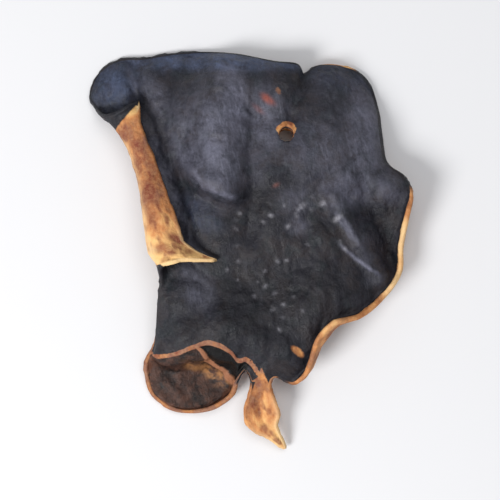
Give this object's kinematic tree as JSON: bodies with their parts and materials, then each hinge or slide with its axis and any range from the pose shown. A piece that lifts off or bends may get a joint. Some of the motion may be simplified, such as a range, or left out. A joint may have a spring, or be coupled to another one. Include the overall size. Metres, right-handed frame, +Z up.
{
  "type": "wood ear mushroom",
  "caption": "Dried wood ear mushroom: a thin crumpled sheet, near black above and tan below, with a rolled margin, a small cup, a tongue, a pinhole and a flat cut stub under its middle.",
  "frame": {"origin": "middle of the ear's bounding box as seen from above, on the table that it lies on", "axes": "+Z up out of the dark face, +Y towards the margin with the nick, +X away from the rolled margin"},
  "size_m": [0.034, 0.042, 0.0081],
  "materials": {
    "dried_flesh": "satin"
  },
  "bodies": {
    "root": {"wood_ear": "dried_flesh"}
  },
  "joints": []
}
